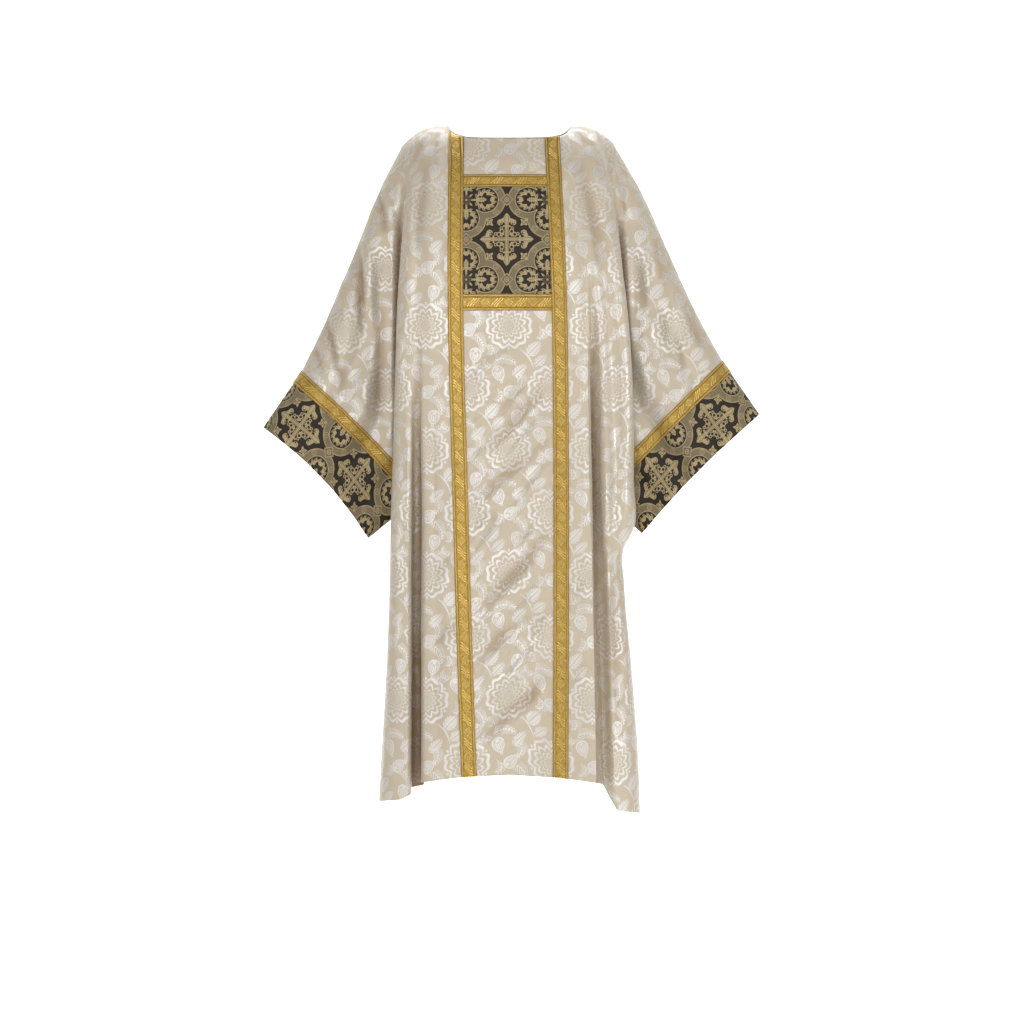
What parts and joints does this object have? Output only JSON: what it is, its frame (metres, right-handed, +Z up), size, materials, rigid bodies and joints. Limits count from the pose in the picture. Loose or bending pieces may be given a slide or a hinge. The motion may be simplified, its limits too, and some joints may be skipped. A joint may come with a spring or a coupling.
{
  "type": "dalmatic vestment",
  "caption": "Knee-length dalmatic in its worn, hollow form: open neck, wide hanging sleeves with brocade cuffs, gold galloon bands and a brocade chest panel.",
  "frame": {"origin": "midway between the two neck points, where the shoulders carry the garment", "axes": "+Z up from hem to neck, -Y out of the garment's front, +X towards the wearer's left sleeve"},
  "size_m": [0.9428, 0.3644, 1.2958],
  "materials": {
    "damask": "cream silk damask, matt beige ground with brighter satin figures",
    "brocade": "brown-black brocade figured in dull khaki gold",
    "galloon": "woven metallic gold braid"
  },
  "bodies": {
    "root": {"front_panel": "damask", "back_panel": "damask", "sleeve_right": "damask", "sleeve_left": "damask", "cuff_right": "brocade", "cuff_left": "brocade", "chest_panel": "brocade", "sleeve_galloon_right": "galloon", "sleeve_galloon_left": "galloon", "front_galloon_right": "galloon", "front_galloon_left": "galloon", "back_galloon_right": "galloon", "back_galloon_left": "galloon", "chest_galloon_top": "galloon", "chest_galloon_bottom": "galloon"}
  },
  "joints": []
}
